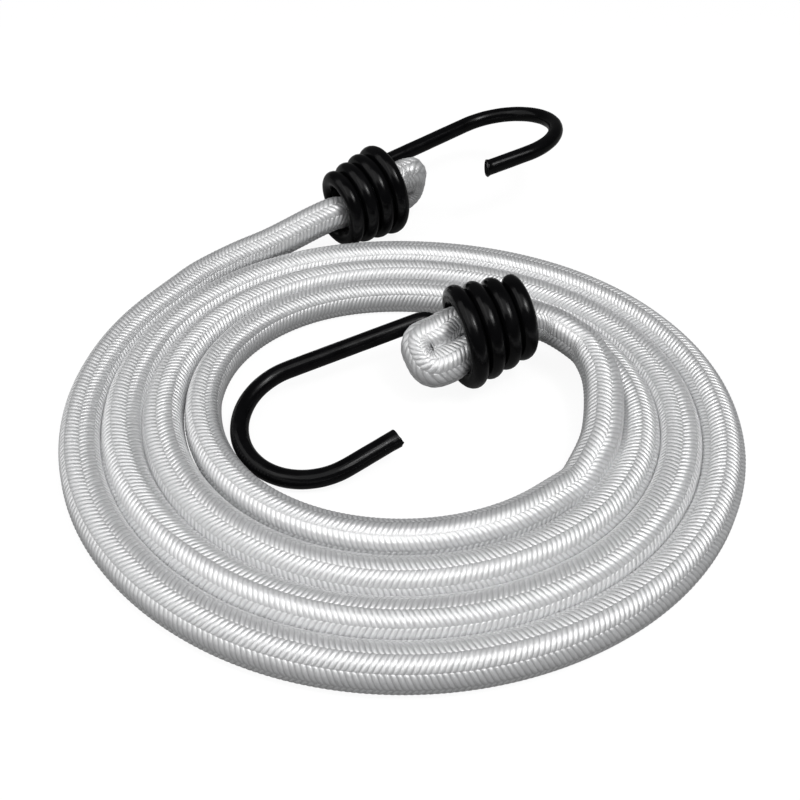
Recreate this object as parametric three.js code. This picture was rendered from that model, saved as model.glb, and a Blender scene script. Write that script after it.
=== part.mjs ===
import * as THREE from 'three';

// Bungee cord lying coiled on a floor: an elastic cord with a rubber core and a braided sheath, and at
// each end a hook of coated steel wire whose own wire coil is wound over the doubled-back cord end.
// Millimetres, +Z up, floor at z = 0. Angles are in degrees.

// Cord
const cordDiameter = 10;
const sheathWall = 1;
const restFlat = 1; // depth of the flat where the cord's underside rests
const seatGap = 0.3; // between pieces that touch

// Coil of cord, wound clockwise from the inside out as seen from above
const holeRadius = 40.8;
const strandGap = 0.45;
const coilStart = 46;
const coilEnd = 1290;
const ovalAcross = 4.1; // the coil is wider from left to right than from front to back
const ovalSkew = 0.95;
const eggAcross = 0.45;
const eggSkew = -0.4;
const frontSpread = 0.55; // extra room between the strands at the front, for each turn

// Wire hook
const wireDiameter = 3.4;
const coatingWall = 0.45;
const coatingFit = 0.2;
const wireCoilTurns = 3.75;
const wireTurnGap = 0.5;
const throatSlack = 4; // the wire coil's narrow end is this much wider than the cord
const shankCorner = 5;
const shankLength = 39;
const hookRadius = 19;
const hookSweep = 191;
const hookTilt = 33; // turn of the hook's plane about its shank
const tipLength = 14;

// Doubled-back end of the cord, inside the wire coil
const boreClearance = 0.45;
const foldGap = 0.5; // between the two strands of the fold
const foldReach = 6.3; // straight run of the fold past the wire coil's mouth
const tailLength = 11; // cut end, measured back from the mouth
const exitRun = 2.5; // cord past the narrow end of the wire coil

// Places of the two hooks. The inner hook's bend lies inside the innermost strand, the outer hook's wire coil
// outside the outermost one, each at an angle of the coil and with room to that strand. Azimuth, elevation and
// roll turn the wire coil's axis. The cord leaves the throat with a tilt and a shift off that axis.
const innerHookPlace = {
  angle: 166.2, room: 0.85, azimuth: 201.7, elevation: -8.1, roll: 208, exitTilt: 30, exitShift: 2,
};
const outerHookPlace = {
  angle: 985.9, room: 4.2, azimuth: 35.6, elevation: 4.9, roll: 21.8, exitTilt: 0, exitShift: 0,
};
const floorGap = 0.2;

// Free stretches between the coil and the wire coils: points of the cord's centre line, in cord diameters
// ahead, to the right and above, seen first from the end of the coil and then from the throat
const innerLead = {
  fromCoil: [
    [0.787, -0.278, 0.15], [1.417, -0.597, 0.3], [1.869, -0.96, 0.38],
    [2.26, -1.343, 0.46], [2.59, -1.709, 0.54], [2.871, -2.11, 0.63],
  ],
  fromThroat: [
    [1.64, 1.35, -0.01], [1.51, 0.89, 0.02], [1.29, 0.63, 0.025], [1.04, 0.39, 0.025], [0.59, 0.058, -0.006],
  ],
};
const outerLead = {
  fromCoil: [[0.743, 0.025, 0.01], [1.518, 0.222, 0.06], [2.265, 0.558, 0.17]],
  fromThroat: [[2.081, 0.373, -0.355], [1.294, 0.214, -0.202], [0.584, 0.086, -0.062]],
};

// Facets
const cordSides = 8;
const wireSides = 8;
const coilStepsPerTurn = 24;
const wireStepsPerTurn = 16;
const leadSteps = 16;

// Colours
const sheathColour = 0xd9dcdf;
const rubberColour = 0xc9b48a;
const coatingColour = 0x101012;
const steelColour = 0x9a9c9e;

// Sizes that follow from the ones above
const cordRadius = cordDiameter / 2;
const cordHeight = cordRadius - restFlat;
const strandPitch = cordDiameter + strandGap;
const coatedDiameter = wireDiameter + 2 * (coatingFit + coatingWall);
const coatedRadius = coatedDiameter / 2;
const wirePitch = coatedDiameter + wireTurnGap;
const wireCoilLength = wireCoilTurns * wirePitch;
const mouthBore = cordRadius * 2;
const throatBore = cordRadius + throatSlack / 2;
const radians = THREE.MathUtils.degToRad;
const up = new THREE.Vector3(0, 0, 1);

// A tube from cross-sections along a path. Each station has a centre, the two directions across the tube
// and its half-width along each. A tube with a bore is open at both ends.
function tubeGeometry(stations, outline, bore) {
  const layers = bore ? [outline, bore] : [outline];
  const sides = outline(stations[0]).length;
  const positions = [];
  for (const section of layers) {
    for (const station of stations) {
      for (const [across, above] of section(station)) {
        const point = station.centre.clone();
        point.addScaledVector(station.side, across).addScaledVector(station.top, above);
        positions.push(point.x, point.y, point.z);
      }
    }
  }
  const last = stations.length - 1;
  const at = (layer, ring, corner) => (layer * stations.length + ring) * sides + (corner % sides);
  const faces = [];
  const quad = (a, b, c, d, flip) => {
    if (flip) faces.push(a, d, b, b, d, c);
    else faces.push(a, b, d, b, c, d);
  };
  layers.forEach((section, layer) => {
    for (let ring = 0; ring < last; ring++) {
      for (let corner = 0; corner < sides; corner++) {
        const next = corner + 1;
        quad(at(layer, ring, corner), at(layer, ring + 1, corner),
          at(layer, ring + 1, next), at(layer, ring, next), layer === 1);
      }
    }
  });
  for (const [ring, flip] of [[0, false], [last, true]]) {
    for (let corner = 0; corner < sides; corner++) {
      const next = corner + 1;
      if (bore) {
        quad(at(0, ring, corner), at(0, ring, next), at(1, ring, next), at(1, ring, corner), flip);
      } else if (corner > 0 && next < sides) {
        const triangle = [at(0, ring, 0), at(0, ring, corner), at(0, ring, next)];
        faces.push(...(flip ? triangle.reverse() : triangle));
      }
    }
  }
  const geometry = new THREE.BufferGeometry();
  geometry.setAttribute('position', new THREE.Float32BufferAttribute(positions, 3));
  geometry.setIndex(faces);
  geometry.computeVertexNormals();
  return geometry;
}

// Cross-section with flat sides left, right, top and bottom, drawn in by an inset on every side
function roundSection(sides, inset) {
  return (station) => {
    const corners = [];
    for (let corner = 0; corner < sides; corner++) {
      const angle = ((corner + 0.5) / sides) * 2 * Math.PI;
      corners.push([(station.halfWidth - inset) * Math.cos(angle), (station.halfHeight - inset) * Math.sin(angle)]);
    }
    return corners;
  };
}

// The same section with its underside cut off level, for cord that lies on the floor
function restingSection(sides, inset, floor) {
  const whole = roundSection(sides, inset);
  return (station) => {
    const corners = whole(station);
    const level = -floor;
    return corners.map((corner, index) => {
      if (corner[1] >= level) return corner;
      const outward = corners[index + (corner[0] > 0 ? 1 : -1) + (index === sides - 1 ? -sides : 0)];
      const share = (outward[1] - level) / (outward[1] - corner[1]);
      return [outward[0] + share * (corner[0] - outward[0]), level];
    });
  };
}

// Stations with the tube's upper side kept towards a fixed direction
function stationsAlong(points, tangents, topDirection, halfWidths, halfHeights) {
  return points.map((centre, index) => {
    const side = tangents[index].clone().cross(topDirection).normalize();
    const top = side.clone().cross(tangents[index]).normalize();
    return { centre, side, top, halfWidth: halfWidths[index], halfHeight: halfHeights[index] };
  });
}

function tangentsOf(points) {
  return points.map((point, index) => {
    const before = points[Math.max(index - 1, 0)];
    const after = points[Math.min(index + 1, points.length - 1)];
    return after.clone().sub(before).normalize();
  });
}

function sameFor(points, size) {
  return points.map(() => size);
}

function namedMesh(name, geometry, colour, roughness, metalness) {
  const mesh = new THREE.Mesh(geometry, new THREE.MeshStandardMaterial({ color: colour, roughness, metalness }));
  mesh.name = name;
  return mesh;
}

// Sheath and core of one stretch of cord
function cordPieces(name, stations, sectionFor) {
  const sheath = tubeGeometry(stations, sectionFor(0), sectionFor(sheathWall));
  const core = tubeGeometry(stations, sectionFor(sheathWall + seatGap));
  return [
    namedMesh(`${name}_sheath`, sheath, sheathColour, 0.45, 0),
    namedMesh(`${name}_core`, core, rubberColour, 0.8, 0),
  ];
}

function lyingCord(name, points, tangents) {
  const stations = stationsAlong(points, tangents, up, sameFor(points, cordRadius), sameFor(points, cordRadius));
  return cordPieces(name, stations, (inset) => restingSection(cordSides, inset, cordHeight - inset));
}

// Centre line of the coil, at an angle from its right-hand side
function coilPoint(angle) {
  const turn = angle / 360;
  const a = radians(angle);
  const oval = ovalAcross * Math.cos(2 * a) + ovalSkew * Math.sin(2 * a);
  const egg = eggAcross * Math.cos(3 * a) + eggSkew * Math.sin(3 * a);
  const radius = holeRadius + cordRadius + turn * (strandPitch + frontSpread * Math.sin(a)) + oval + egg;
  return new THREE.Vector3(radius * Math.cos(a), -radius * Math.sin(a), cordHeight);
}

function coilTangent(angle) {
  return coilPoint(angle + 0.1).sub(coilPoint(angle - 0.1)).normalize();
}

// The coil as points and directions, with a straight run of one cord diameter at both ends
function coilLine() {
  const steps = Math.round(((coilEnd - coilStart) / 360) * coilStepsPerTurn);
  const points = [];
  const tangents = [];
  for (let step = 0; step <= steps; step++) {
    const angle = coilStart + ((coilEnd - coilStart) * step) / steps;
    points.push(coilPoint(angle));
    tangents.push(coilTangent(angle));
  }
  points.unshift(points[0].clone().addScaledVector(tangents[0], -cordDiameter));
  points.push(points.at(-1).clone().addScaledVector(tangents.at(-1), cordDiameter));
  tangents.unshift(tangents[0]);
  tangents.push(tangents.at(-1));
  return { points, tangents };
}

// Least distance between neighbouring strands, from points along the coil one turn apart
function leastGap(points, pointsPerTurn, width) {
  let least = Infinity;
  points.forEach((point, index) => {
    for (let other = index + Math.round(pointsPerTurn / 2); other < points.length; other++) {
      least = Math.min(least, point.distanceTo(points[other]) - width);
    }
  });
  return least;
}

// Radius of the wire coil's bore at a distance along its axis: 0 at the mouth, negative towards the throat
function boreRadius(along) {
  return mouthBore + ((throatBore - mouthBore) * -along) / wireCoilLength;
}

// Way from the shank across the hook, and the middle of the hook's round bend
function hookInward() {
  return new THREE.Vector3(0, -Math.cos(radians(hookTilt)), Math.sin(radians(hookTilt)));
}

function hookBendCentre() {
  const bendStart = new THREE.Vector3(shankCorner + shankLength, mouthBore + coatedRadius, -shankCorner);
  return bendStart.addScaledVector(hookInward(), hookRadius);
}

// Centre line of the hook's wire: tapering left-hand coil, corner, shank, bend and tip
function hookLine() {
  const points = [];
  const coilSteps = Math.round(wireCoilTurns * wireStepsPerTurn);
  for (let step = 0; step <= coilSteps; step++) {
    const turn = (step / coilSteps - 1) * wireCoilTurns;
    const along = turn * wirePitch;
    const radius = boreRadius(along) + coatedRadius;
    const angle = 2 * Math.PI * turn;
    points.push(new THREE.Vector3(along, radius * Math.cos(angle), -radius * Math.sin(angle)));
  }
  const start = points.at(-1);
  const cornerSteps = 4;
  for (let step = 1; step <= cornerSteps; step++) {
    const angle = ((step / cornerSteps) * Math.PI) / 2;
    const along = shankCorner * (1 - Math.cos(angle));
    points.push(new THREE.Vector3(along, start.y, -shankCorner * Math.sin(angle)));
  }
  const shank = new THREE.Vector3(1, 0, 0);
  const inward = hookInward();
  const bendCentre = hookBendCentre();
  points.push(points.at(-1).clone().addScaledVector(shank, shankLength / 2));
  const bendSteps = 12;
  for (let step = 0; step <= bendSteps; step++) {
    const angle = radians((hookSweep * step) / bendSteps);
    const point = bendCentre.clone().addScaledVector(shank, hookRadius * Math.sin(angle));
    points.push(point.addScaledVector(inward, -hookRadius * Math.cos(angle)));
  }
  const sweep = radians(hookSweep);
  const tip = shank.clone().multiplyScalar(Math.cos(sweep)).addScaledVector(inward, Math.sin(sweep));
  points.push(points.at(-1).clone().addScaledVector(tip, tipLength));
  return points;
}

// Stations along a line that turns freely, each carried over from the one before without twist
function freeStations(points, size) {
  const tangents = tangentsOf(points);
  let top = new THREE.Vector3(1, 0, 0).projectOnPlane(tangents[0]).normalize();
  return points.map((centre, index) => {
    top = top.clone().projectOnPlane(tangents[index]).normalize();
    const side = tangents[index].clone().cross(top);
    return { centre, side, top, halfWidth: size, halfHeight: size };
  });
}

function hookPieces(name) {
  const stations = freeStations(hookLine(), coatedRadius);
  const coating = tubeGeometry(stations, roundSection(wireSides, 0), roundSection(wireSides, coatingWall));
  const wire = tubeGeometry(stations, roundSection(wireSides, coatingWall + coatingFit));
  return [
    namedMesh(`${name}_coating`, coating, coatingColour, 0.3, 0),
    namedMesh(`${name}_wire`, wire, steelColour, 0.35, 1),
  ];
}

// Where the cord leaves the wire coil's narrow end, and its way from there
function throatFace(place) {
  const tilt = radians(place.exitTilt);
  return {
    point: new THREE.Vector3(-wireCoilLength - exitRun, 0, place.exitShift),
    way: new THREE.Vector3(-Math.cos(tilt), 0, Math.sin(tilt)),
  };
}

// Smooth way of the cord from the throat to its lane beside the cut end
function gatherLine(place, lane) {
  const { point, way } = throatFace(place);
  const length = -tailLength - point.x;
  const startSlope = way.z / way.x;
  return (t) => {
    const rest = 1 - t;
    const sidestep = point.z * rest * rest * (1 + 2 * t) + startSlope * length * t * rest * rest
      + lane * t * t * (3 - 2 * t);
    const slope = startSlope * rest * (1 - 3 * t) + (6 * t * rest * (lane - point.z)) / length;
    return { along: point.x + length * t, sidestep, slope };
  };
}

// Doubled-back end of the cord: in through the throat, round the fold past the mouth and back to a cut end
function cordEndStations(place) {
  const points = [];
  const widths = [];
  const roomAt = (along) => {
    const narrowest = boreRadius(Math.min(along, 0) - wirePitch / 2);
    return (narrowest - boreClearance - foldGap / 2) / 2;
  };
  const addStation = (along, sidestep, halfWidth) => {
    points.push(new THREE.Vector3(along, 0, sidestep));
    widths.push(halfWidth);
  };
  const doubledAt = (along) => ({ halfWidth: roomAt(along), sidestep: foldGap / 2 + roomAt(along) });
  const gather = gatherLine(place, -doubledAt(-tailLength).sidestep);
  const gatherSteps = 7;
  for (let step = 0; step <= gatherSteps; step++) {
    const { along, sidestep, slope } = gather(step / gatherSteps);
    const narrowest = boreRadius(Math.max(along - wirePitch / 2, -wireCoilLength));
    const room = (narrowest - boreClearance - Math.abs(sidestep)) * Math.cos(Math.atan(slope));
    const free = along <= -wireCoilLength;
    const last = step === gatherSteps;
    addStation(along, sidestep, last ? roomAt(along) : free ? cordRadius : Math.min(cordRadius, room));
  }
  const runSteps = 5;
  const run = tailLength + foldReach;
  for (let step = 1; step < runSteps; step++) {
    const along = -tailLength + (run * step) / runSteps;
    addStation(along, -doubledAt(along).sidestep, doubledAt(along).halfWidth);
  }
  const foldSteps = 8;
  const fold = doubledAt(foldReach);
  for (let step = 0; step <= foldSteps; step++) {
    const angle = (Math.PI * step) / foldSteps;
    addStation(foldReach + fold.sidestep * Math.sin(angle), -fold.sidestep * Math.cos(angle), fold.halfWidth);
  }
  for (let step = runSteps - 1; step >= 0; step--) {
    const along = -tailLength + (run * step) / runSteps;
    addStation(along, doubledAt(along).sidestep, doubledAt(along).halfWidth);
  }
  const tangents = tangentsOf(points);
  tangents[0].copy(throatFace(place).way).negate();
  return stationsAlong(points, tangents, new THREE.Vector3(0, 1, 0), widths, sameFor(points, cordRadius));
}

// Hook and doubled-back cord end, turned as they lie. One point of them comes to an angle of the coil, with
// a reach outwards (or inwards) from the strand there, and the lowest of them just clears the floor.
function cordEndGroup(name, place, localPoint, reach) {
  const group = new THREE.Group();
  group.add(...hookPieces(`${name}_hook`));
  group.add(...cordPieces(`${name}_end`, cordEndStations(place), (inset) => roundSection(cordSides, inset)));
  group.rotation.set(radians(place.roll), radians(-place.elevation), radians(place.azimuth), 'ZYX');
  const strand = coilPoint(place.angle).setZ(0);
  const target = strand.setLength(strand.length() + reach);
  group.position.copy(target.sub(localPoint.clone().applyEuler(group.rotation))).setZ(0);
  group.updateMatrixWorld(true);
  group.position.z = floorGap - new THREE.Box3().setFromObject(group, true).min.z;
  group.updateMatrixWorld(true);
  return group;
}

// Free stretch from the end of the coil to the throat of a wire coil, as one smooth curve
function leadPieces(name, coilFace, coilDirection, lead, place, endGroup) {
  const throat = throatFace(place);
  const exit = endGroup.localToWorld(throat.point);
  const exitWay = throat.way.transformDirection(endGroup.matrixWorld);
  const pointFrom = (base, along) => {
    const right = along.clone().cross(up).normalize();
    const above = right.clone().cross(along);
    return ([ahead, across, over]) => base.clone().addScaledVector(along, ahead * cordDiameter)
      .addScaledVector(right, across * cordDiameter).addScaledVector(above, over * cordDiameter);
  };
  const middle = [
    ...lead.fromCoil.map(pointFrom(coilFace, coilDirection)),
    ...lead.fromThroat.map(pointFrom(exit, exitWay)),
  ];
  const start = coilFace.clone().addScaledVector(coilDirection, seatGap);
  const finish = exit.clone().addScaledVector(exitWay, seatGap);
  const curve = new THREE.CatmullRomCurve3([start, ...middle, finish], false, 'centripetal');
  const points = curve.getSpacedPoints(leadSteps);
  const tangents = tangentsOf(points);
  tangents[0].copy(coilDirection);
  tangents[leadSteps].copy(exitWay).negate();
  return lyingCord(name, points, tangents);
}

const coil = coilLine();
const coilGap = leastGap(coil.points, coilStepsPerTurn, cordDiameter * Math.cos(Math.PI / cordSides));
const wireGap = leastGap(hookLine().slice(0, wireCoilTurns * wireStepsPerTurn), wireStepsPerTurn, coatedDiameter);
console.log(`least gap between strands of the coil ${coilGap.toFixed(2)} mm`);
console.log(`least gap between turns of the wire coils ${wireGap.toFixed(2)} mm`);

const innerReach = cordRadius + innerHookPlace.room + coatedRadius + hookRadius;
const outerReach = cordRadius + outerHookPlace.room + coatedDiameter + mouthBore;
const innerEnd = cordEndGroup('inner', innerHookPlace, hookBendCentre(), -innerReach);
const outerEnd = cordEndGroup('outer', outerHookPlace, new THREE.Vector3(), outerReach);
const innerWay = coil.tangents[0].clone().negate();
const outerWay = coil.tangents.at(-1);

const layout = new THREE.Group();
layout.add(...lyingCord('coil', coil.points, coil.tangents));
layout.add(...leadPieces('inner_lead', coil.points[0], innerWay, innerLead, innerHookPlace, innerEnd));
layout.add(...leadPieces('outer_lead', coil.points.at(-1), outerWay, outerLead, outerHookPlace, outerEnd));
layout.add(innerEnd, outerEnd);

// Origin under the middle of the whole part
const box = new THREE.Box3().setFromObject(layout, true);
const middle = box.getCenter(new THREE.Vector3());
layout.position.set(-middle.x, -middle.y, 0);

const bungeeCord = new THREE.Group();
bungeeCord.add(layout);

export default bungeeCord;
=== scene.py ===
import bpy
import bmesh
import math
from mathutils import Matrix, Vector, noise


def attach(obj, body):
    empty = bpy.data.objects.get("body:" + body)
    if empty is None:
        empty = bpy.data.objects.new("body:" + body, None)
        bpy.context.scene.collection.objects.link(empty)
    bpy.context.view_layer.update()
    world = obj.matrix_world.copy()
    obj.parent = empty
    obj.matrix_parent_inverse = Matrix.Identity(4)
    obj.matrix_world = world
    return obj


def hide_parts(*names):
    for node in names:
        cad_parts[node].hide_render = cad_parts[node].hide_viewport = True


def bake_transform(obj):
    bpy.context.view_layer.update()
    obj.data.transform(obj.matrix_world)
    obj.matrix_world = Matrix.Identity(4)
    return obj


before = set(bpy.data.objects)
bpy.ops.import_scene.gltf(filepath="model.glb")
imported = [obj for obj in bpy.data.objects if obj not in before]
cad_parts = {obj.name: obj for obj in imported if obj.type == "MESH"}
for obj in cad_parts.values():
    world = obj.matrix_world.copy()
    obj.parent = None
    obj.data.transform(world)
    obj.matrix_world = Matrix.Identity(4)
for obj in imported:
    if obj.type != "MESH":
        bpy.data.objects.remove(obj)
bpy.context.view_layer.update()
scene = bpy.context.scene
scene.view_settings.view_transform = "Standard"
print("frame loaded")

# Camera, at the photograph's viewing angle
cameraSettings = {"place": (0.000159, -0.208176, 0.18181), "pitch": 46.11, "lens": 42.75,
                  "sensor": 36.0, "clipStart": 0.01}


def makeCamera(settings):
    data = bpy.data.cameras.new("photoCamera")
    data.sensor_width = settings["sensor"]
    data.lens = settings["lens"]
    data.clip_start = settings["clipStart"]
    camera = bpy.data.objects.new("photoCamera", data)
    camera.location = settings["place"]
    camera.rotation_euler = (math.radians(settings["pitch"]), 0.0, 0.0)
    scene.collection.objects.link(camera)
    scene.camera = camera


makeCamera(cameraSettings)
print("camera set")

# Way of the cord: fold in the inner hook, lead, coil, lead, fold in the outer hook
coilLay = {
    "shift": (0.0021586, -0.0260264),  # coil's middle in the part's frame
    "centreHeight": 0.004,
    "cordRadius": 0.005,
    "holeRadius": 0.0408,
    "strandPitch": 0.01045,
    "frontSpread": 0.00055,
    "oval": (0.0041, 0.00095),
    "egg": (0.00045, -0.0004),
    "startAngle": 46.0,
    "endAngle": 1290.0,
    "angleStep": 0.3,
    "meetFrom": (300.0, 400.0),  # from here on, the strands spread a little until they meet
    "loosenOver": 60.0,
    "hookDent": 0.0003,  # the innermost strand gives way to the hook that lies beside it
    "dentSpan": (100.0, 140.0, 190.0, 230.0),
}
innerLeadPoints = [
    (0.04315, -0.05421, 0.00400), (0.04786, -0.04732, 0.00550), (0.05106, -0.04103, 0.00700),
    (0.05256, -0.03543, 0.00780), (0.05346, -0.03003, 0.00860), (0.05396, -0.02512, 0.00940),
    (0.05386, -0.02023, 0.01030), (0.05277, -0.01514, 0.01097), (0.05105, -0.01073, 0.01166),
    (0.04866, -0.00842, 0.01241), (0.04600, -0.00634, 0.01319), (0.04124, -0.00361, 0.01432),
    (0.03563, -0.00375, 0.01623),
]
outerLeadPoints = [
    (-0.06643, 0.02510, 0.00400), (-0.06214, 0.03118, 0.00410), (-0.05625, 0.03657, 0.00460),
    (-0.04934, 0.04098, 0.00570), (-0.04107, 0.04471, 0.00740), (-0.03387, 0.04791, 0.00960),
    (-0.02747, 0.05092, 0.01160), (-0.02228, 0.05358, 0.01272),
]
hookPlaces = {
    "inner": {
        "mouth": (0.014813, -0.011025, 0.014881), "azimuth": 201.7, "elevation": -8.1, "roll": 208.0,
        "exitTilt": 30.0, "exitShift": 0.002,
        "foldShift": 0.0014, "foldReach": 0.0078, "foldSwell": 0.0, "foldTurn": 38.0,
    },
    "outer": {
        "mouth": (-0.004462, 0.066335, 0.014598), "azimuth": 35.6, "elevation": 4.9, "roll": 21.8,
        "exitTilt": 0.0, "exitShift": 0.0,
        "foldShift": -0.0029, "foldReach": 0.0080, "foldSwell": 0.0009, "foldTurn": 0.0,
    },
}
wireCoil = {"turns": 3.75, "pitch": 0.0052, "mouthBore": 0.010, "throatBore": 0.007, "coatedRadius": 0.00235}
foldedEnd = {
    "clearance": 0.00045,
    "gap": 0.0005,
    "tail": 0.011,
    "exitRun": 0.0025,
    "settleFrom": 0.6,  # share of the way in, from which the cord takes up the width of the fold
    "swellRun": (-0.002, 0.005),  # from the mouth of the wire coil, where the fold swells
    "widening": 0.0009,
    "closing": 0.0004,  # its two halves press together there
    "tipRun": 0.003,
    "tipLength": 2.4,  # way round the tip, over half its width
    "tipHalf": 0.0040,
    "tipThinning": 1.5,
    "twistRun": 0.012,  # length back from the outer hook's mouth, where outerTwist starts
}
routeSettings = {"step": 0.0004, "aimSample": 6, "aimRun": 0.01, "aimAngle": 0.1, "easing": 12}


def hookMatrix(place):
    turn = Matrix.Rotation(math.radians(place["azimuth"]), 4, "Z")
    turn = turn @ Matrix.Rotation(math.radians(-place["elevation"]), 4, "Y")
    turn = turn @ Matrix.Rotation(math.radians(place["roll"]), 4, "X")
    return Matrix.Translation(place["mouth"]) @ turn


def smoothStep(low, high, value):
    t = min(max((value - low) / (high - low), 0.0), 1.0)
    return t * t * (3.0 - 2.0 * t)


def coilPoint(angle):
    lay = coilLay
    a = math.radians(angle)
    radius = lay["holeRadius"] + lay["cordRadius"]
    radius += (angle / 360.0) * (lay["strandPitch"] + lay["frontSpread"] * math.sin(a))
    radius += lay["oval"][0] * math.cos(2 * a) + lay["oval"][1] * math.sin(2 * a)
    radius += lay["egg"][0] * math.cos(3 * a) + lay["egg"][1] * math.sin(3 * a)
    x = lay["shift"][0] + radius * math.cos(a)
    y = lay["shift"][1] - radius * math.sin(a)
    return Vector((x, y, lay["centreHeight"]))


def pressedWidth(angle):
    # what a strand has over its round half width
    lay = coilLay
    pitch = lay["strandPitch"] + lay["frontSpread"] * math.sin(math.radians(angle))
    fade = smoothStep(*lay["meetFrom"], angle)
    fade *= 1.0 - smoothStep(lay["endAngle"] - lay["loosenOver"], lay["endAngle"], angle)
    dentStart, dentFull, dentEnd, dentOver = lay["dentSpan"]
    besideHook = smoothStep(dentStart, dentFull, angle) * (1.0 - smoothStep(dentEnd, dentOver, angle))
    return max(pitch / 2 - lay["cordRadius"], 0.0) * fade - lay["hookDent"] * besideHook


def curveThrough(points, before, after, step):
    # centripetal curve through the points, with one point added at each end for its direction
    knots = [Vector(before)] + [Vector(p) for p in points] + [Vector(after)]
    line = []
    for i in range(1, len(knots) - 2):
        p0, p1, p2, p3 = knots[i - 1:i + 3]
        t1 = (p1 - p0).length ** 0.5
        t2 = t1 + (p2 - p1).length ** 0.5
        t3 = t2 + (p3 - p2).length ** 0.5
        count = max(2, round((p2 - p1).length / step))
        for n in range(count):
            t = t1 + (t2 - t1) * n / count
            a1 = p0 * ((t1 - t) / t1) + p1 * (t / t1)
            a2 = p1 * ((t2 - t) / (t2 - t1)) + p2 * ((t - t1) / (t2 - t1))
            a3 = p2 * ((t3 - t) / (t3 - t2)) + p3 * ((t - t2) / (t3 - t2))
            b1 = a1 * ((t2 - t) / t2) + a2 * (t / t2)
            b2 = a2 * ((t3 - t) / (t3 - t1)) + a3 * ((t - t1) / (t3 - t1))
            line.append(b1 * ((t2 - t) / (t2 - t1)) + b2 * ((t - t1) / (t2 - t1)))
    line.append(knots[-2].copy())
    return line


def boreRadius(along):
    length = wireCoil["turns"] * wireCoil["pitch"]
    return wireCoil["mouthBore"] + (wireCoil["throatBore"] - wireCoil["mouthBore"]) * -along / length


def foldLine(place, step):
    # from the throat through the wire coil, round the fold and back to the cut end
    radius = coilLay["cordRadius"]
    coilLength = wireCoil["turns"] * wireCoil["pitch"]
    exitAlong = -coilLength - foldedEnd["exitRun"]
    tail = foldedEnd["tail"]
    reach = place["foldReach"]

    def roomAt(along):
        narrowest = boreRadius(min(along, 0.0) - wireCoil["pitch"] / 2)
        return (narrowest - foldedEnd["clearance"] - foldedEnd["gap"] / 2) / 2

    def laneAt(along):
        swell = smoothStep(*foldedEnd["swellRun"], along)
        half = roomAt(along) + (place["foldSwell"] + foldedEnd["widening"]) * swell
        offset = foldedEnd["gap"] / 2 + roomAt(along) + (place["foldSwell"] - foldedEnd["closing"]) * swell
        return half, offset, place["foldShift"] * swell

    stations = []
    length = -tail - exitAlong
    lane = -laneAt(-tail)[1]
    slope = -math.tan(math.radians(place["exitTilt"]))
    count = round(length / step)
    for n in range(count):
        t = n / count
        rest = 1.0 - t
        along = exitAlong + length * t
        side = place["exitShift"] * rest * rest * (1 + 2 * t) + slope * length * t * rest * rest
        side += lane * t * t * (3 - 2 * t)
        grade = slope * rest * (1 - 3 * t) + 6 * t * rest * (lane - place["exitShift"]) / length
        narrowest = boreRadius(max(along - wireCoil["pitch"] / 2, -coilLength))
        room = (narrowest - foldedEnd["clearance"] - abs(side)) * math.cos(math.atan(grade))
        half = radius if along <= -coilLength else min(radius, room)
        half += (laneAt(-tail)[0] - half) * smoothStep(foldedEnd["settleFrom"], 1.0, t)
        stations.append((Vector((along, 0.0, side)), half))
    run = tail + reach
    count = round(run / step)
    for n in range(count):
        along = -tail + run * n / count
        half, offset, shift = laneAt(along)
        stations.append((Vector((along, 0.0, shift - offset)), half))
    half, offset, shift = laneAt(reach)
    count = round(foldedEnd["tipLength"] * offset / step)
    for n in range(count):  # pressed flat where it turns back
        angle = math.pi * n / count
        along = reach + foldedEnd["tipRun"] * math.sin(angle)
        thick = abs(math.cos(angle)) ** foldedEnd["tipThinning"]
        thin = foldedEnd["tipHalf"] + (half - foldedEnd["tipHalf"]) * thick
        stations.append((Vector((along, 0.0, shift - offset * math.cos(angle))), thin))
    count = round(run / step)
    for n in range(count + 1):
        along = reach - run * n / count
        half, offset, shift = laneAt(along)
        stations.append((Vector((along, 0.0, shift + offset)), half))
    return stations


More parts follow.
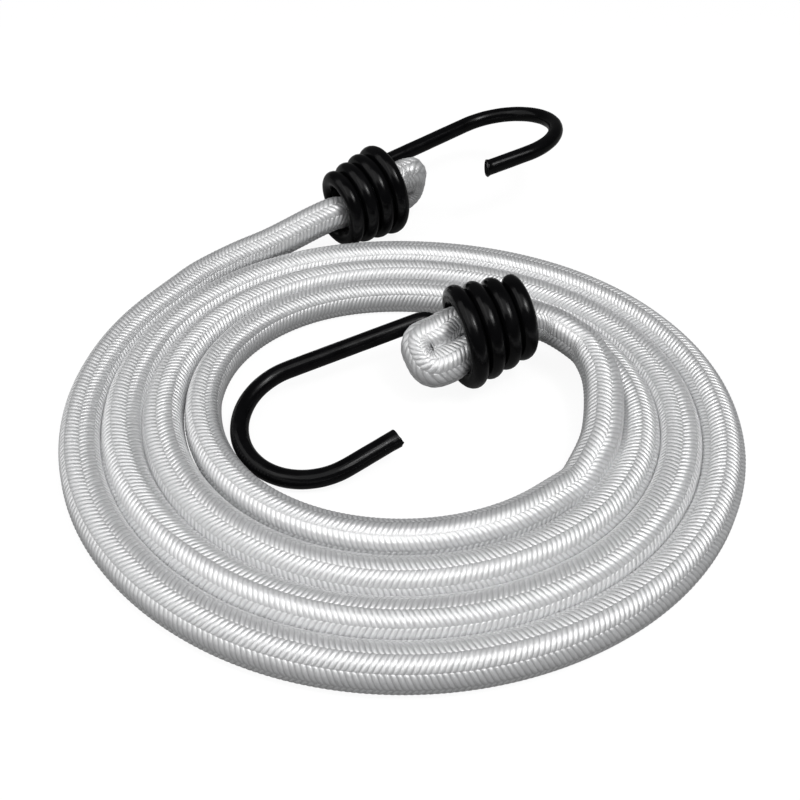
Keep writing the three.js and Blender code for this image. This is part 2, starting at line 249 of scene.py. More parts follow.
def makeRoute(settings):
    # every sample: centre, upper side wanted, half width across, half height
    step = settings["step"]
    radius = coilLay["cordRadius"]
    worldUp = Vector((0.0, 0.0, 1.0))
    matrices = {name: hookMatrix(place) for name, place in hookPlaces.items()}
    ends = {}
    for name, place in hookPlaces.items():
        matrix = matrices[name]
        ends[name] = []
        throat = -wireCoil["turns"] * wireCoil["pitch"] - foldedEnd["exitRun"]
        for centre, half in foldLine(place, step):
            # the fold lies turned in the round bore
            turned = smoothStep(throat, -foldedEnd["tail"], centre.x)
            turn = matrix @ Matrix.Rotation(math.radians(place["foldTurn"]) * turned, 4, "X")
            ends[name].append((turn @ centre, turn.to_3x3() @ Vector((0.0, 1.0, 0.0)), half, radius))

    def coilWay(angle, turn):
        return (coilPoint(angle + turn) - coilPoint(angle - turn)).normalized()

    def leadLine(points, way, end):
        before = Vector(points[0]) - way * settings["aimRun"]
        return curveThrough(points, before, end[settings["aimSample"]][0], step)

    startWay = coilWay(coilLay["startAngle"], -settings["aimAngle"])
    endWay = coilWay(coilLay["endAngle"], settings["aimAngle"])
    inner = leadLine(innerLeadPoints, startWay, ends["inner"])
    outer = leadLine(outerLeadPoints, endWay, ends["outer"])
    coilLine = []
    angle = coilLay["startAngle"]
    while angle < coilLay["endAngle"]:
        coilLine.append((coilPoint(angle), worldUp, radius + pressedWidth(angle), radius))
        angle += coilLay["angleStep"]
    coilLine.append((coilPoint(coilLay["endAngle"]), worldUp, radius, radius))
    lying = lambda line: [(p, worldUp, radius, radius) for p in line]
    samples = list(reversed(ends["inner"]))
    marks = {"innerThroat": len(samples) - 1}
    samples += lying(list(reversed(inner))[1:])
    marks["coilStart"] = len(samples) - 1
    samples += coilLine
    samples += lying(outer)
    marks["coilEnd"] = len(samples) - len(outer)
    marks["outerThroat"] = len(samples) - 1
    samples += ends["outer"][1:]
    return evenRoute(samples, marks, settings)


def evenRoute(samples, marks, settings):
    lengths = [0.0]
    for a, b in zip(samples, samples[1:]):
        lengths.append(lengths[-1] + (b[0] - a[0]).length)
    markLengths = {name: lengths[index] for name, index in marks.items()}
    count = round(lengths[-1] / settings["step"])
    even = []
    i = 0
    for n in range(count + 1):
        s = lengths[-1] * n / count
        while i < len(samples) - 2 and lengths[i + 1] < s:
            i += 1
        t = (s - lengths[i]) / max(lengths[i + 1] - lengths[i], 1e-9)
        a, b = samples[i], samples[i + 1]
        upper = a[1] if t < 0.5 else b[1]
        even.append([a[0].lerp(b[0], t), upper, a[2] + (b[2] - a[2]) * t, a[3] + (b[3] - a[3]) * t])
    centres = [e[0].copy() for e in even]
    for _ in range(settings["easing"]):  # ease the joins between the stretches
        for n in range(1, len(centres) - 1):
            even[n][0] = (centres[n - 1] + centres[n] * 2 + centres[n + 1]) / 4
        centres = [e[0].copy() for e in even]
    frames = []
    turn = 0.0
    for n, (centre, upper, halfWidth, halfHeight) in enumerate(even):
        ahead = (centres[min(n + 1, count)] - centres[max(n - 1, 0)]).normalized()
        side = ahead.cross(upper).normalized()
        top = side.cross(ahead).normalized()
        if frames:  # where the wanted upper side changes, the braid runs on unbroken
            last = frames[-1]
            if (last["upper"] - upper).length > 1e-6:
                carried = last["side"] * math.cos(last["turn"]) - last["top"] * math.sin(last["turn"])
                turn = -math.atan2(carried.dot(top), carried.dot(side))
        frames.append({"centre": centre, "side": side, "top": top, "upper": upper, "turn": turn,
                       "halfWidth": halfWidth, "halfHeight": halfHeight})
    lyingTurn = frames[round(markLengths["coilEnd"] / lengths[-1] * count)]["turn"]
    return {"frames": frames, "length": lengths[-1], "marks": markLengths, "lyingTurn": lyingTurn}


route = makeRoute(routeSettings)
print("route", round(route["length"], 3), {k: round(v, 3) for k, v in route["marks"].items()})

# Braided sheath
braid = {
    "columns": 8,
    "perColumn": 3,
    "stitch": 0.00128,
    "slant": 1.25,  # rise of a stitch across its column, in stitches
    "interlock": 0.5,  # every other column lies this much further along, in stitches
    "ringsPerStitch": 3,
    "edgeDip": 0.00004,  # where a stitch dives under the next column
    "middleDips": (-0.00011, -0.0002, -0.0002),  # between two stitches, on a stitch, on a stitch
    # turn of the columns along the cord: metres from the coil's outer end, degrees
    "twist": ((-1.60, -130.0), (-1.05, -80.0), (-0.99, -82.0), (-0.70, -42.0), (-0.60, -46.0),
              (-0.51, -2.0), (-0.19, 0.0), (-0.07, -8.0), (0.06, -22.0)),
}


def columnTurn(distance):
    stops = braid["twist"]
    for (d0, t0), (d1, t1) in zip(stops, stops[1:]):
        if distance <= d1 or d1 == stops[-1][0]:
            share = min(max((distance - d0) / (d1 - d0), 0.0), 1.0)
            return math.radians(t0 + (t1 - t0) * share)


def routePlace(s):
    frames = route["frames"]
    place = min(max(s / route["length"], 0.0), 1.0) * (len(frames) - 1)
    i = min(int(place), len(frames) - 2)
    return frames[i], frames[i + 1], place - i


def routeSample(s, angle, dip):
    first, second, t = routePlace(s)
    spots = []
    for f in (first, second):
        a = angle - f["turn"]
        across = (f["halfWidth"] - dip) * math.cos(a)
        above = (f["halfHeight"] - dip) * math.sin(a)
        spots.append(f["centre"] + f["side"] * across + f["top"] * above)
    return spots[0].lerp(spots[1], t)


def routeCentre(s):
    first, second, t = routePlace(s)
    return first["centre"].lerp(second["centre"], t)


def rolledTube(around, rings, placeVertex, uvScale, isCrease=None, uvShift=None):
    # a flat grid rolled up into a tube: x runs round it, y along it
    mesh = bmesh.new()
    mesh.loops.layers.uv.new("UVMap")
    bmesh.ops.create_grid(mesh, x_segments=around, y_segments=rings, size=0.5, calc_uvs=True)
    uvLayer = mesh.loops.layers.uv.active
    spot = lambda vertex: (round((vertex.co.x + 0.5) * around), round((vertex.co.y + 0.5) * rings))
    for face in mesh.faces:
        face.smooth = True
        firstAround = min(spot(vertex)[0] for vertex in face.verts)
        for loop in face.loops:
            uv = loop[uvLayer].uv
            shift = uvShift(spot(loop.vert)[0], firstAround) if uvShift else 0.0
            loop[uvLayer].uv = (uv.x * uvScale[0], uv.y * uvScale[1] + shift)
    if isCrease:
        for edge in mesh.edges:
            edge.smooth = not isCrease(spot(edge.verts[0]), spot(edge.verts[1]))
    for vertex in mesh.verts:
        n, k = spot(vertex)
        vertex.co = placeVertex(n % around, k)
    first = [v for v in mesh.verts if v.is_boundary]
    bmesh.ops.remove_doubles(mesh, verts=first, dist=1e-7)
    return mesh


def finishTube(mesh, name, material):
    rims = [e for e in mesh.edges if e.is_boundary]
    for edge in rims:
        edge.smooth = False
    if rims:
        bmesh.ops.holes_fill(mesh, edges=rims, sides=0)
    bmesh.ops.recalc_face_normals(mesh, faces=mesh.faces)
    data = bpy.data.meshes.new(name)
    mesh.to_mesh(data)
    mesh.free()
    data.materials.append(material)
    piece = bpy.data.objects.new(name, data)
    scene.collection.objects.link(piece)
    return piece


def braidedPiece(name, firstRing, lastRing, material):
    perColumn = braid["perColumn"]
    around = braid["columns"] * perColumn
    perStitch = braid["ringsPerStitch"]
    ringStep = braid["stitch"] / perStitch
    coilEnd = route["marks"]["coilEnd"]
    lyingTurn = route["lyingTurn"]

    def placeVertex(n, k):
        ring = firstRing + k
        column = n / perColumn
        zigzag = 0.5 - abs(column % 2 - 1.0)
        atEdge = n % perColumn == 0
        lock = 0.5 if atEdge else math.floor(column) % 2
        s = ring * ringStep + braid["stitch"] * (braid["slant"] * zigzag + braid["interlock"] * (lock - 0.5))
        dip = braid["edgeDip"] if atEdge else braid["middleDips"][ring % perStitch]
        angle = 2 * math.pi * n / around + columnTurn(s - coilEnd) + lyingTurn
        spot = routeSample(s, angle, dip)
        spot.z = max(spot.z, 0.0)
        return spot

    def isCrease(a, b):
        # the lines between the stitches: column edges, and the furrows in the middle of each column
        if a[0] == b[0]:
            return a[0] % perColumn == 0
        return a[1] % perStitch == 0 and a[0] % perColumn > 0 and b[0] % perColumn > 0

    def uvShift(n, firstAround):
        # at a column's edge the pattern of each column runs on straight
        if n % perColumn:
            return 0.0
        return braid["interlock"] * (0.5 - firstAround // perColumn % 2)

    count = lastRing - firstRing
    mesh = rolledTube(around, count, placeVertex, (braid["columns"], count / perStitch), isCrease, uvShift)
    piece = finishTube(mesh, name, material)
    centres = [routeCentre((firstRing + k) * ringStep) for k in range(count + 1)]
    print(name, "faces", len(piece.data.polygons))
    return piece, centres


# Shader group for the braid: slanted stitches in columns, fine filaments, painted shade between the stitches
stitchShape = {"rib": 0.9, "crown": 0.38, "shade": 0.8, "filaments": 9.0, "filamentRun": 1.6, "detail": 2.0}


def newGroup(name, inputs, outputs):
    group = bpy.data.node_groups.new(name, "ShaderNodeTree")
    for socketName, kind, value in inputs:
        socket = group.interface.new_socket(socketName, in_out="INPUT", socket_type=kind)
        if value is not None:
            socket.default_value = value
    for socketName, kind in outputs:
        group.interface.new_socket(socketName, in_out="OUTPUT", socket_type=kind)
    return group, group.nodes.new("NodeGroupInput"), group.nodes.new("NodeGroupOutput")


def mathNode(tree, operation, first, second=None):
    node = tree.nodes.new("ShaderNodeMath")
    node.operation = operation
    for socket, value in zip(node.inputs, (first, second)):
        if value is None:
            continue
        if hasattr(value, "is_output"):
            tree.links.new(value, socket)
        else:
            socket.default_value = value
    return node.outputs[0]


def braidGroup(settings):
    group, start, end = newGroup(
        "braidStitches",
        [("Vector", "NodeSocketVector", None), ("Filaments", "NodeSocketFloat", settings["filaments"])],
        [("Height", "NodeSocketFloat"), ("Shade", "NodeSocketFloat"), ("Variation", "NodeSocketFloat"),
         ("Filament", "NodeSocketFloat")])
    split = group.nodes.new("ShaderNodeSeparateXYZ")
    group.links.new(start.outputs["Vector"], split.inputs[0])
    u, v = split.outputs[0], split.outputs[1]
    across = mathNode(group, "SINE", mathNode(group, "MULTIPLY", mathNode(group, "FRACT", u), math.pi))
    along = mathNode(group, "SINE", mathNode(group, "MULTIPLY", mathNode(group, "FRACT", v), math.pi))
    rib = mathNode(group, "POWER", along, settings["rib"])
    crown = mathNode(group, "POWER", across, settings["crown"])  # a stitch ends in a round tip
    raised = mathNode(group, "SUBTRACT", mathNode(group, "ADD", rib, crown), 1.0)
    height = mathNode(group, "MAXIMUM", raised, 0.0)
    stretch = group.nodes.new("ShaderNodeCombineXYZ")
    group.links.new(mathNode(group, "MULTIPLY", u, settings["filamentRun"]), stretch.inputs[0])
    group.links.new(mathNode(group, "MULTIPLY", v, start.outputs["Filaments"]), stretch.inputs[1])
    strands = group.nodes.new("ShaderNodeTexNoise")
    strands.noise_dimensions = "2D"
    strands.inputs["Scale"].default_value = 1.0
    strands.inputs["Detail"].default_value = settings["detail"]
    group.links.new(stretch.outputs[0], strands.inputs["Vector"])
    cell = group.nodes.new("ShaderNodeCombineXYZ")
    group.links.new(mathNode(group, "FLOOR", u), cell.inputs[0])
    group.links.new(mathNode(group, "FLOOR", v), cell.inputs[1])
    chance = group.nodes.new("ShaderNodeTexWhiteNoise")
    chance.noise_dimensions = "2D"
    group.links.new(cell.outputs[0], chance.inputs["Vector"])
    group.links.new(height, end.inputs["Height"])
    # Shade follows the stitch height and sets the painted shade in the furrows
    group.links.new(mathNode(group, "POWER", height, settings["shade"]), end.inputs["Shade"])
    group.links.new(chance.outputs["Value"], end.inputs["Variation"])
    group.links.new(strands.outputs["Fac"], end.inputs["Filament"])
    return group


braidStitches = braidGroup(stitchShape)
sheathFinish = {
    # the furrow colour is painted shade: the base colour is darkened between the stitches, where shade falls;
    # crest is the yarn's own colour
    "paintedFurrowShade": (0.31, 0.315, 0.323, 1.0),
    "crest": (0.55, 0.556, 0.566, 1.0),
    "shadeStops": (0.05, 0.65),
    "tone": (0.10, 0.90),  # spread and least tone from stitch to stitch
    "streak": (0.4, 0.78),  # the same from filament to filament
    "bump": 0.00025,
    "bumpStrength": 0.8,
    "filamentRelief": 0.4,
    "gloss": 0.5,
    "glossSpread": 0.12,
    "anisotropy": 0.25,
    "anisotropyTurn": 0.25,
    "specular": 1.0,
    "ior": 3.0,
}


def colourRamp(tree, factor, stops):
    ramp = tree.nodes.new("ShaderNodeValToRGB")
    elements = ramp.color_ramp.elements
    for element, (position, colour) in zip(elements, stops):
        element.position = position
        element.color = colour
    tree.links.new(factor, ramp.inputs["Fac"])
    return ramp.outputs["Color"]


def newMaterial(name):
    material = bpy.data.materials.new(name)
    material.use_nodes = True
    tree = material.node_tree
    return material, tree, tree.nodes["Principled BSDF"]


def spreadFrom(tree, factor, spread, least):
    return mathNode(tree, "ADD", mathNode(tree, "MULTIPLY", factor, spread), least)


def addBump(tree, shader, relief, settings):
    bump = tree.nodes.new("ShaderNodeBump")
    bump.inputs["Strength"].default_value = settings["bumpStrength"]
    bump.inputs["Distance"].default_value = settings["bump"]
    tree.links.new(relief, bump.inputs["Height"])
    tree.links.new(bump.outputs["Normal"], shader.inputs["Normal"])


def sheathMaterial(settings):
    material, tree, shader = newMaterial("braidedSheath")
    uv = tree.nodes.new("ShaderNodeUVMap")
    stitches = tree.nodes.new("ShaderNodeGroup")
    stitches.node_tree = braidStitches
    stitches.inputs["Filaments"].default_value = stitchShape["filaments"]
    tree.links.new(uv.outputs["UV"], stitches.inputs["Vector"])
    # painted shade: the base colour runs from the dark furrow colour up to the crest colour with the stitch
    # height
    shades = zip(settings["shadeStops"], (settings["paintedFurrowShade"], settings["crest"]))
    colour = colourRamp(tree, stitches.outputs["Shade"], shades)
    vary = tree.nodes.new("ShaderNodeMix")
    vary.data_type = "RGBA"
    vary.blend_type = "MULTIPLY"
    vary.inputs["Factor"].default_value = 1.0
    tone = spreadFrom(tree, stitches.outputs["Variation"], *settings["tone"])
    streak = spreadFrom(tree, stitches.outputs["Filament"], *settings["streak"])
    grey = tree.nodes.new("ShaderNodeCombineColor")
    both = mathNode(tree, "MULTIPLY", tone, streak)
    for socket in grey.inputs[:3]:
        tree.links.new(both, socket)
    tree.links.new(colour, vary.inputs["A"])
    tree.links.new(grey.outputs["Color"], vary.inputs["B"])
    tree.links.new(vary.outputs["Result"], shader.inputs["Base Color"])
    spread = settings["glossSpread"]
    rough = spreadFrom(tree, stitches.outputs["Filament"], spread, settings["gloss"] - spread / 2)
    tree.links.new(rough, shader.inputs["Roughness"])
    thread = tree.nodes.new("ShaderNodeTangent")  # the gloss spreads across the threads, as on silk
    thread.direction_type = "UV_MAP"
    thread.uv_map = "UVMap"
    tree.links.new(thread.outputs[0], shader.inputs["Tangent"])
    shader.inputs["Anisotropic"].default_value = settings["anisotropy"]
    shader.inputs["Anisotropic Rotation"].default_value = settings["anisotropyTurn"]
    filaments = mathNode(tree, "MULTIPLY", stitches.outputs["Filament"], settings["filamentRelief"])
    relief = mathNode(tree, "ADD", stitches.outputs["Height"], filaments)
    addBump(tree, shader, relief, settings)
    shader.inputs["Specular IOR Level"].default_value = settings["specular"]
    shader.inputs["IOR"].default_value = settings["ior"]
    return material


sheathCloth = sheathMaterial(sheathFinish)
ringAt = lambda s: round(s / braid["stitch"]) * braid["ringsPerStitch"]
insideThroat = 0.008  # the seams between the pieces lie hidden in the wire coils
cutMargin = 0.0012
cordRings = {
    "innerCut": ringAt(cutMargin),
    "innerSeam": ringAt(route["marks"]["innerThroat"] - insideThroat),
    "coilEnd": ringAt(route["marks"]["coilEnd"]),
    "outerSeam": ringAt(route["marks"]["outerThroat"] + insideThroat),
    "outerCut": ringAt(route["length"] - cutMargin),
}
innerEndSheath, _ = braidedPiece(
    "innerEndSheath", cordRings["innerCut"], cordRings["innerSeam"], sheathCloth)
cordSheath, cordCentres = braidedPiece(
    "cordSheath", cordRings["innerSeam"], cordRings["coilEnd"], sheathCloth)
outerLeadSheath, leadCentres = braidedPiece(
    "outerLeadSheath", cordRings["coilEnd"], cordRings["outerSeam"], sheathCloth)
outerEndSheath, _ = braidedPiece(
    "outerEndSheath", cordRings["outerSeam"], cordRings["outerCut"], sheathCloth)


def lineLength(points):
    return sum((b - a).length for a, b in zip(points, points[1:]))


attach(innerEndSheath, "cord")
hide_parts("inner_end_sheath")
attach(cordSheath, "cord")
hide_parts("coil_sheath", "inner_lead_sheath")
tuple(cordCentres[0])
lineLength(cordCentres)
[tuple(p) for p in cordCentres]
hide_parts("outer_lead_sheath")
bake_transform(outerLeadSheath)
tuple(leadCentres[-1])
lineLength(leadCentres)
[tuple(p) for p in reversed(leadCentres)]
outerMouth = hookMatrix(hookPlaces["outer"])
outerTwist = {
    "start": tuple(outerMouth @ Vector((-foldedEnd["twistRun"], 0.0, 0.0))),
    "end": hookPlaces["outer"]["mouth"],
}
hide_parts("outer_end_sheath")
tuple(outerTwist["start"])
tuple(outerTwist["end"])
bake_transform(outerEndSheath)
print("sheath made")

# Wire hooks with their dipped coating
hookShape = {
    "corner": 0.005, "shank": 0.039, "bendRadius": 0.019, "sweep": 191.0, "tilt": 33.0, "tip": 0.014,
    "turnSteps": 90, "cornerSteps": 16, "shankSteps": 40, "bendSteps": 80, "tipSteps": 16, "easing": 2,
}
coating = {
    "sides": 20,
    "ring": 0.0009,
    "girth": 0.0147,
    "lip": ((0.0, 0.45), (-0.0002, 0.72), (-0.0001, 0.9)),  # shift along and share of the radius
    "swell": 0.05,
    "woundLength": 0.256,
    "woundSwell": 0.04,
    "woundFade": (-4, 8),
    "unevenness": 0.012,
    "unevenScale": 260.0,
    "ringsBeforeTip": 2,  # from here on, the tip is cut aslant
    "burrFrom": 0.85,  # the burr stands on the widest rings of the tip
    "burrLean": 0.6,
    "burrScale": 4000.0,
    "burrSharpness": 6,
}


def hookLine(step):
    points = []
    turns = wireCoil["turns"]
    count = round(turns * hookShape["turnSteps"])
    for n in range(count):
        turn = (n / count - 1.0) * turns
        radius = boreRadius(turn * wireCoil["pitch"]) + wireCoil["coatedRadius"]
        angle = 2 * math.pi * turn
        points.append(Vector((turn * wireCoil["pitch"], radius * math.cos(angle), -radius * math.sin(angle))))
    rise = wireCoil["mouthBore"] + wireCoil["coatedRadius"]
    corner = hookShape["corner"]
    for n in range(hookShape["cornerSteps"]):
        angle = math.pi / 2 * n / hookShape["cornerSteps"]
        points.append(Vector((corner * (1 - math.cos(angle)), rise, -corner * math.sin(angle))))
    shankStart = Vector((corner, rise, -corner))
    for n in range(hookShape["shankSteps"]):
        points.append(shankStart + Vector((hookShape["shank"] * n / hookShape["shankSteps"], 0.0, 0.0)))
    tilt = math.radians(hookShape["tilt"])
    inward = Vector((0.0, -math.cos(tilt), math.sin(tilt)))
    ahead = Vector((1.0, 0.0, 0.0))
    radius = hookShape["bendRadius"]
    middle = shankStart + ahead * hookShape["shank"] + inward * radius
    sweep = math.radians(hookShape["sweep"])
    for n in range(hookShape["bendSteps"]):
        angle = sweep * n / hookShape["bendSteps"]
        points.append(middle + ahead * radius * math.sin(angle) - inward * radius * math.cos(angle))
    tipStart = middle + ahead * radius * math.sin(sweep) - inward * radius * math.cos(sweep)
    tipWay = ahead * math.cos(sweep) + inward * math.sin(sweep)
    for n in range(hookShape["tipSteps"] + 1):
        points.append(tipStart + tipWay * hookShape["tip"] * n / hookShape["tipSteps"])
    lengths = [0.0]
    for a, b in zip(points, points[1:]):
        lengths.append(lengths[-1] + (b - a).length)
    count = round(lengths[-1] / step)
    even = []
    i = 0
    for n in range(count + 1):
        s = lengths[-1] * n / count
        while i < len(points) - 2 and lengths[i + 1] < s:
            i += 1
        even.append(points[i].lerp(points[i + 1], (s - lengths[i]) / (lengths[i + 1] - lengths[i])))
    for _ in range(hookShape["easing"]):
        eased = [(a + b * 2 + c) / 4 for a, b, c in zip(even, even[1:], even[2:])]
        even = [even[0]] + eased + [even[-1]]
    return even


def coatedWire(name, place, tipShape, material):
    matrix = hookMatrix(place)
    line = [matrix @ p for p in hookLine(coating["ring"])]
    radius = wireCoil["coatedRadius"]
    profile = []  # centre index, shift along, share of the radius
    for shift, share in coating["lip"]:
        profile.append((0, shift, share))
    woundRings = round(coating["woundLength"] / coating["ring"])
    fadeStart, fadeEnd = (woundRings + step for step in coating["woundFade"])
    for k in range(len(line)):
        fuller = coating["woundSwell"] * (1.0 - smoothStep(fadeStart, fadeEnd, k))
        profile.append((k, 0.0, 1.0 + coating["swell"] + fuller))
    last = len(line) - 1
    for shift, share in tipShape["rings"]:
        profile.append((last, shift, share))
    ways = [(line[min(k + 1, last)] - line[max(k - 1, 0)]).normalized() for k in range(last + 1)]
    tops = []
    top = matrix.to_3x3() @ Vector((1.0, 0.0, 0.0))
    for way in ways:
        top = (top - way * top.dot(way)).normalized()
        tops.append(top)
    sides = coating["sides"]

    def placeVertex(n, k):
        index, shift, share = profile[k]
        way = ways[index]
        top = tops[index]
        side = way.cross(top)
        angle = 2 * math.pi * n / sides
        centre = line[index] + way * shift
        across = top * math.cos(angle) + side * math.sin(angle)
        size = radius * share
        spot = centre + across * size
        size *= 1.0 + coating["unevenness"] * noise.noise(spot * coating["unevenScale"])
        spot = centre + across * size
        if k >= len(profile) - len(tipShape["rings"]) - coating["ringsBeforeTip"]:
            spot += way * (tipShape["slant"] * size * math.cos(angle - tipShape["slantAngle"]))
            burr = max(0.0, math.cos(angle - tipShape["burrAngle"])) ** coating["burrSharpness"]
            if share > coating["burrFrom"]:
                rough = 1 + noise.noise(spot * coating["burrScale"])
                spot += (across * coating["burrLean"] + way) * burr * tipShape["burr"] * rough
        spot.z = max(spot.z, 0.0)
        return spot

    uvLength = len(profile) * coating["ring"] / coating["girth"]
    mesh = rolledTube(sides, len(profile) - 1, placeVertex, (1.0, uvLength))
    return finishTube(mesh, name, material)


vinylFinish = {
    "base": (0.0016, 0.0016, 0.0019, 1.0),
    "worn": (0.0034, 0.0034, 0.0038, 1.0),
    "wornStops": (0.35, 0.7),
    "wornScale": 160.0,
    "wornDetail": 2.0,
    "grain": 900.0,
    "grainDetail": 3.0,
    "streaks": (26.0, 1.6, 1.0),  # drawn lengthwise: fine round the wire, long along it
    "streakDetail": 3.0,
    "streakRelief": 4.0,
    "bump": 0.00004,
    "bumpStrength": 0.5,
    "roughness": (0.1, 0.13),  # spread and least
    "specular": 0.13,
}


def noiseFactor(tree, vector, scale, detail):
    pattern = tree.nodes.new("ShaderNodeTexNoise")
    pattern.inputs["Scale"].default_value = scale
    pattern.inputs["Detail"].default_value = detail
    tree.links.new(vector, pattern.inputs["Vector"])
    return pattern.outputs["Fac"]


def vinylMaterial(settings):
    material, tree, shader = newMaterial("blackVinyl")
    place = tree.nodes.new("ShaderNodeTexCoord")
    soft = noiseFactor(tree, place.outputs["Object"], settings["grain"], settings["grainDetail"])
    broad = noiseFactor(tree, place.outputs["Object"], settings["wornScale"], settings["wornDetail"])
    wear = colourRamp(tree, broad, zip(settings["wornStops"], (settings["base"], settings["worn"])))
    tree.links.new(wear, shader.inputs["Base Color"])
    tree.links.new(spreadFrom(tree, broad, *settings["roughness"]), shader.inputs["Roughness"])
    uv = tree.nodes.new("ShaderNodeUVMap")
    lengthwise = tree.nodes.new("ShaderNodeMapping")
    lengthwise.inputs["Scale"].default_value = settings["streaks"]
    tree.links.new(uv.outputs["UV"], lengthwise.inputs["Vector"])
    streak = noiseFactor(tree, lengthwise.outputs["Vector"], 1.0, settings["streakDetail"])
    relief = mathNode(tree, "ADD", soft, mathNode(tree, "MULTIPLY", streak, settings["streakRelief"]))
    addBump(tree, shader, relief, settings)
    shader.inputs["Specular IOR Level"].default_value = settings["specular"]
    return material


blackVinyl = vinylMaterial(vinylFinish)
tipShapes = {
    "inner": {"rings": ((0.0003, 1.07), (0.0005, 1.02), (0.0006, 0.86), (0.0004, 0.74), (0.0002, 0.5)),
              "slant": 0.12, "slantAngle": 0.6, "burrAngle": 2.4, "burr": 0.0005},
    "outer": {"rings": ((0.0004, 1.12), (0.0008, 1.17), (0.0009, 1.08), (0.0005, 0.88), (0.0001, 0.5)),
              "slant": 0.25, "slantAngle": 2.0, "burrAngle": 0.4, "burr": 0.0002},
}
for end in ("inner", "outer"):
    hook = coatedWire(end + "HookCoating", hookPlaces[end], tipShapes[end], blackVinyl)
    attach(hook, end + "_hook")
    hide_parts(end + "_hook_coating")
print("hooks made")

# Rubber core of the two folds, and of the outer lead
threadBundle = {
    "radius": 0.0036,
    "threads": 9,
    "perThread": 4,
    "dip": 0.0004,
    "lay": 8.0,  # turn of the threads, in radians for each metre
    "ring": 0.0012,
    "aboveFloor": 0.0014,
    "cutMargin": 0.002,
    "seamGap": 0.0003,
}
rubberFinish = {
    "colours": ((0.45, 0.35, 0.20, 1.0), (0.62, 0.50, 0.31, 1.0)), "stops": (0.3, 0.7),
    "grain": 700.0, "detail": 4.0,
    "roughness": (0.2, 0.65), "metallic": 0.0, "bump": 0.00004, "bumpStrength": 0.4,
}
steelFinish = {
    "colours": ((0.32, 0.32, 0.33, 1.0), (0.55, 0.56, 0.57, 1.0)), "stops": (0.3, 0.7),
    "grain": 900.0, "detail": 4.0,
    "roughness": (0.2, 0.3), "metallic": 1.0, "bump": 0.00004, "bumpStrength": 0.4,
}


def grainyMaterial(name, settings):
    material, tree, shader = newMaterial(name)
    place = tree.nodes.new("ShaderNodeTexCoord")
    grain = noiseFactor(tree, place.outputs["Object"], settings["grain"], settings["detail"])
    colour = colourRamp(tree, grain, zip(settings["stops"], settings["colours"]))
    tree.links.new(colour, shader.inputs["Base Color"])
    tree.links.new(spreadFrom(tree, grain, *settings["roughness"]), shader.inputs["Roughness"])
    shader.inputs["Metallic"].default_value = settings["metallic"]
    addBump(tree, shader, grain, settings)
    return material


rubberThreads = grainyMaterial("rubberThreads", rubberFinish)
drawnSteel = grainyMaterial("drawnSteel", steelFinish)


def threadedCore(name, settings, firstLength, lastLength):
    rings = round((lastLength - firstLength) / settings["ring"])
    around = settings["threads"] * settings["perThread"]

    def placeVertex(n, k):
        s = firstLength + (lastLength - firstLength) * k / rings
        angle = 2 * math.pi * n / around + settings["lay"] * s
        lobe = abs(math.cos(settings["threads"] * math.pi * n / around))
        size = settings["radius"] - settings["dip"] * (1.0 - lobe)
        spot = routeSample(s, angle, coilLay["cordRadius"] - size)
        spot.z = max(spot.z, settings["aboveFloor"])
        return spot

    mesh = rolledTube(around, rings, placeVertex, (settings["threads"], rings))
    return finishTube(mesh, name, rubberThreads)


coreCut = threadBundle["cutMargin"]
coreGap = threadBundle["seamGap"]
marks = route["marks"]
innerEndCore = threadedCore("innerEndCore", threadBundle, coreCut, marks["innerThroat"] - coreGap)
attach(innerEndCore, "cord")
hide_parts("inner_end_core")
outerEndCore = threadedCore(
    "outerEndCore", threadBundle, marks["outerThroat"] + coreGap, route["length"] - coreCut)
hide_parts("outer_end_core")
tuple(outerTwist["start"])
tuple(outerTwist["end"])
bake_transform(outerEndCore)
outerLeadCore = threadedCore(
    "outerLeadCore", threadBundle, marks["coilEnd"] + coreGap, marks["outerThroat"] - coreGap)
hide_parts("outer_lead_core")
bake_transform(outerLeadCore)
for nodeName in ("coil_core", "inner_lead_core"):
    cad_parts[nodeName].material_slots[0].material = rubberThreads
for nodeName in ("inner_hook_wire", "outer_hook_wire"):
    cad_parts[nodeName].material_slots[0].material = drawnSteel
print("cores and wires finished")

# Floor, light and background
stageSettings = {
    "floorSize": 2.4,
    "floorCells": 8,
    "floorDrop": 0.0001,
    "floorColour": (0.2, 0.2, 0.2, 1.0),
    "floorRoughness": 0.9,
    "white": (1.0, 1.0, 1.0, 1.0),
    "shadow": 0.45,  # share of the lit floor in what the camera sees of it
    "glow": 0.93,
    "glowFrom": 0.35,  # the floor's shade fades into plain white between these distances
    "glowTo": 0.8,
    "mirrored": 0.06,
    "world": 0.08,
}
lampSettings = [
    {"name": "softBox", "place": (0.33, -0.26, 0.79), "aim": (0.0, 0.0, 0.0),
     "size": (0.4, 0.4), "power": 2.5},
    {"name": "softBoxCore", "place": (0.33, -0.26, 0.785), "aim": (0.0, 0.0, 0.0),
     "size": (0.14, 0.14), "power": 1.5},
    {"name": "leftFill", "place": (-0.66, -0.1, 0.52), "aim": (0.0, 0.0, 0.0),
     "size": (0.9, 0.8), "power": 3.0},
    {"name": "topPanel", "place": (0.0, -0.25, 0.75), "aim": (0.0, -0.25, 0.0),
     "size": (1.2, 0.6), "power": 3.6},
]


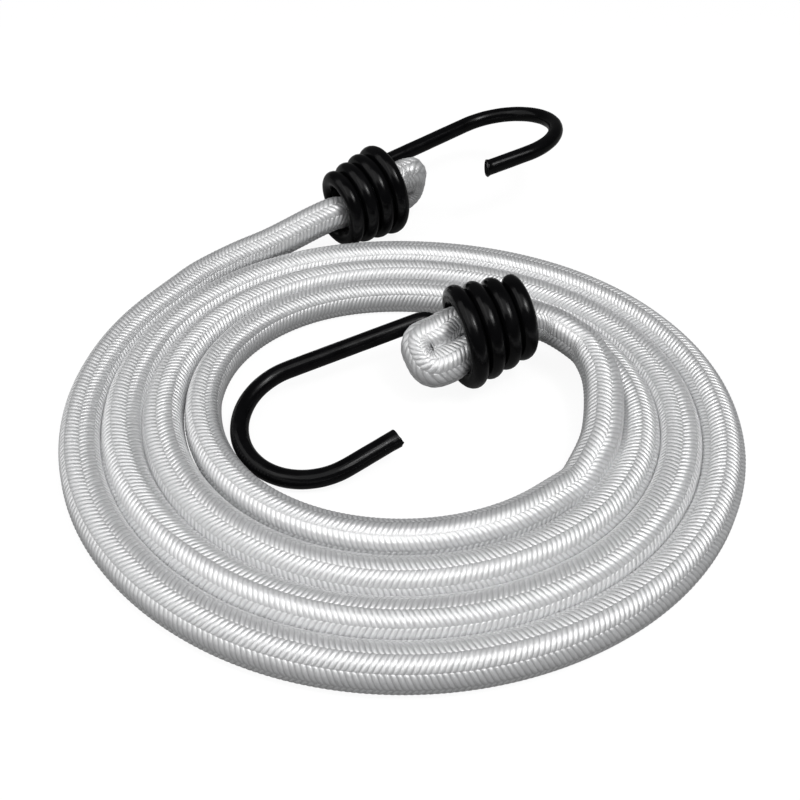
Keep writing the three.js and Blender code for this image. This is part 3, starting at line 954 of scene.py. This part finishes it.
def makeFloor(settings):
    mesh = bmesh.new()
    cells = settings["floorCells"]
    bmesh.ops.create_grid(mesh, x_segments=cells, y_segments=cells, size=settings["floorSize"])
    for vertex in mesh.verts:
        vertex.co.z = -settings["floorDrop"]
    data = bpy.data.meshes.new("floor")
    mesh.to_mesh(data)
    mesh.free()
    material, tree, shader = newMaterial("whiteFloor")
    shader.inputs["Base Color"].default_value = settings["floorColour"]
    shader.inputs["Roughness"].default_value = settings["floorRoughness"]
    shader.inputs["Specular IOR Level"].default_value = 0.0
    path = tree.nodes.new("ShaderNodeLightPath")
    seen = mathNode(tree, "MAXIMUM", path.outputs["Is Camera Ray"], path.outputs["Is Transmission Ray"])
    mirrored = mathNode(tree, "MULTIPLY", path.outputs["Is Glossy Ray"], settings["mirrored"])
    seen = mathNode(tree, "MAXIMUM", seen, mirrored)
    white = tree.nodes.new("ShaderNodeEmission")
    white.inputs["Color"].default_value = settings["white"]
    place = tree.nodes.new("ShaderNodeTexCoord")
    distance = tree.nodes.new("ShaderNodeVectorMath")
    distance.operation = "LENGTH"
    tree.links.new(place.outputs["Object"], distance.inputs[0])
    fade = tree.nodes.new("ShaderNodeMapRange")
    fade.inputs["From Min"].default_value = settings["glowFrom"]
    fade.inputs["From Max"].default_value = settings["glowTo"]
    fade.inputs["To Min"].default_value = settings["glow"] / (1.0 - settings["shadow"])
    fade.inputs["To Max"].default_value = 1.0 / (1.0 - settings["shadow"])
    tree.links.new(distance.outputs["Value"], fade.inputs["Value"])
    tree.links.new(fade.outputs["Result"], white.inputs["Strength"])
    mix = tree.nodes.new("ShaderNodeMixShader")
    tree.links.new(mathNode(tree, "MULTIPLY", seen, 1.0 - settings["shadow"]), mix.inputs[0])
    tree.links.new(shader.outputs[0], mix.inputs[1])
    tree.links.new(white.outputs[0], mix.inputs[2])
    tree.links.new(mix.outputs[0], tree.nodes["Material Output"].inputs["Surface"])
    data.materials.append(material)
    floor = bpy.data.objects.new("floor", data)
    scene.collection.objects.link(floor)


def makeLamp(settings):
    data = bpy.data.lights.new(settings["name"], "AREA")
    data.shape = "RECTANGLE"
    data.size, data.size_y = settings["size"]
    data.energy = settings["power"]
    lamp = bpy.data.objects.new(settings["name"], data)
    lamp.location = settings["place"]
    way = Vector(settings["aim"]) - Vector(settings["place"])
    lamp.rotation_euler = way.to_track_quat("-Z", "Y").to_euler()
    scene.collection.objects.link(lamp)


def makeWorld(settings):
    world = bpy.data.worlds.new("softRoom")
    scene.world = world
    world.use_nodes = True
    tree = world.node_tree
    room = tree.nodes["Background"]
    room.inputs["Color"].default_value = settings["white"]
    room.inputs["Strength"].default_value = settings["world"]
    white = tree.nodes.new("ShaderNodeBackground")
    white.inputs["Color"].default_value = settings["white"]
    white.inputs["Strength"].default_value = 1.0
    path = tree.nodes.new("ShaderNodeLightPath")
    mix = tree.nodes.new("ShaderNodeMixShader")
    tree.links.new(path.outputs["Is Camera Ray"], mix.inputs[0])
    tree.links.new(room.outputs[0], mix.inputs[1])
    tree.links.new(white.outputs[0], mix.inputs[2])
    tree.links.new(mix.outputs[0], tree.nodes["World Output"].inputs["Surface"])


makeFloor(stageSettings)
for lamp in lampSettings:
    makeLamp(lamp)
makeWorld(stageSettings)
print("stage set")
